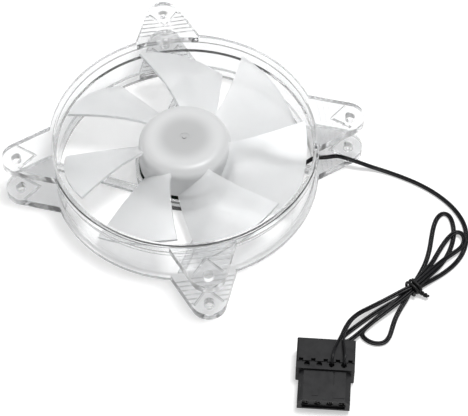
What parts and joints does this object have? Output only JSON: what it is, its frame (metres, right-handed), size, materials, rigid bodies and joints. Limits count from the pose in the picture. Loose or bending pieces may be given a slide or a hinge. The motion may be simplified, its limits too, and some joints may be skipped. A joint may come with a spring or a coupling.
{
  "type": "case fan",
  "caption": "Round clear case fan with a frosted bladed rotor on an outer-rotor motor, corner mounting ears and a folded, tied lead that ends in an in-line power connector.",
  "frame": {"origin": "on the rotor's axis at the underside of the frame, the face with the struts and the motor base", "axes": "+Z along the rotor's axis towards the open face, where the hub's cap is seen; X and Y run through pairs of flanks, with the screw holes on the diagonals at (+-52.5, +-52.5) mm; the lead leaves near +X +Y and its connector lies towards +X -Y"},
  "size_m": [0.1899, 0.1317, 0.025],
  "materials": {
    "clear_plastic": "clear moulded polycarbonate, polished",
    "frosted_plastic": "translucent frosted moulding, fine matt texture",
    "brass": "turned",
    "bronze": "sintered, oiled",
    "white_nylon": "moulded",
    "black_rubber": "moulded",
    "polished_steel": "ground and polished",
    "lamination_steel": "stacked sheet steel",
    "insulator_plastic": "moulded",
    "copper_wire": "enamelled wire",
    "board_resist": "dark solder mask",
    "tinned_metal": "tin plated",
    "chip_black": "moulded",
    "label_grey": "plain foil label",
    "magnet_ferrite": "bonded ferrite",
    "yoke_steel": "drawn steel cup",
    "connector_nylon": "moulded nylon, slightly glossy",
    "lead_pvc": "smooth PVC insulation",
    "tie_pvc": "plastic-covered wire"
  },
  "bodies": {
    "frame_body": {"frame": "clear_plastic", "bearing_tube": "brass", "sleeve_bearing": "bronze", "thrust_pad": "white_nylon", "wear_washer": "white_nylon", "oil_ring": "black_rubber", "stator_core": "lamination_steel", "upper_insulator": "insulator_plastic", "lower_insulator": "insulator_plastic", "stator_windings": "copper_wire", "circuit_board": "board_resist", "winding_posts": "tinned_metal", "hall_sensor": "chip_black", "driver_chip": "chip_black", "capacitor": "chip_black", "resistors": "chip_black", "back_label": "label_grey", "connector_pin_shell": "connector_nylon", "connector_socket_shell": "connector_nylon", "connector_pins": "tinned_metal", "connector_sockets": "tinned_metal", "lead_run": "lead_pvc", "lead_tail": "lead_pvc", "wire_end_ground": "lead_pvc", "wire_end_supply": "lead_pvc", "inner_wires": "lead_pvc", "solder_joints": "tinned_metal", "lead_hank": "lead_pvc", "lead_tie": "tie_pvc"},
    "rotor": {"impeller": "frosted_plastic", "rotor_yoke": "yoke_steel", "ring_magnet": "magnet_ferrite", "shaft": "polished_steel", "retaining_clip": "white_nylon"}
  },
  "joints": [
    {"name": "fan_spin", "type": "hinge", "parent": "frame_body", "child": "rotor", "pos_m": [0, 0, 0], "axis": [0, 0, 1], "continuous": true}
  ]
}
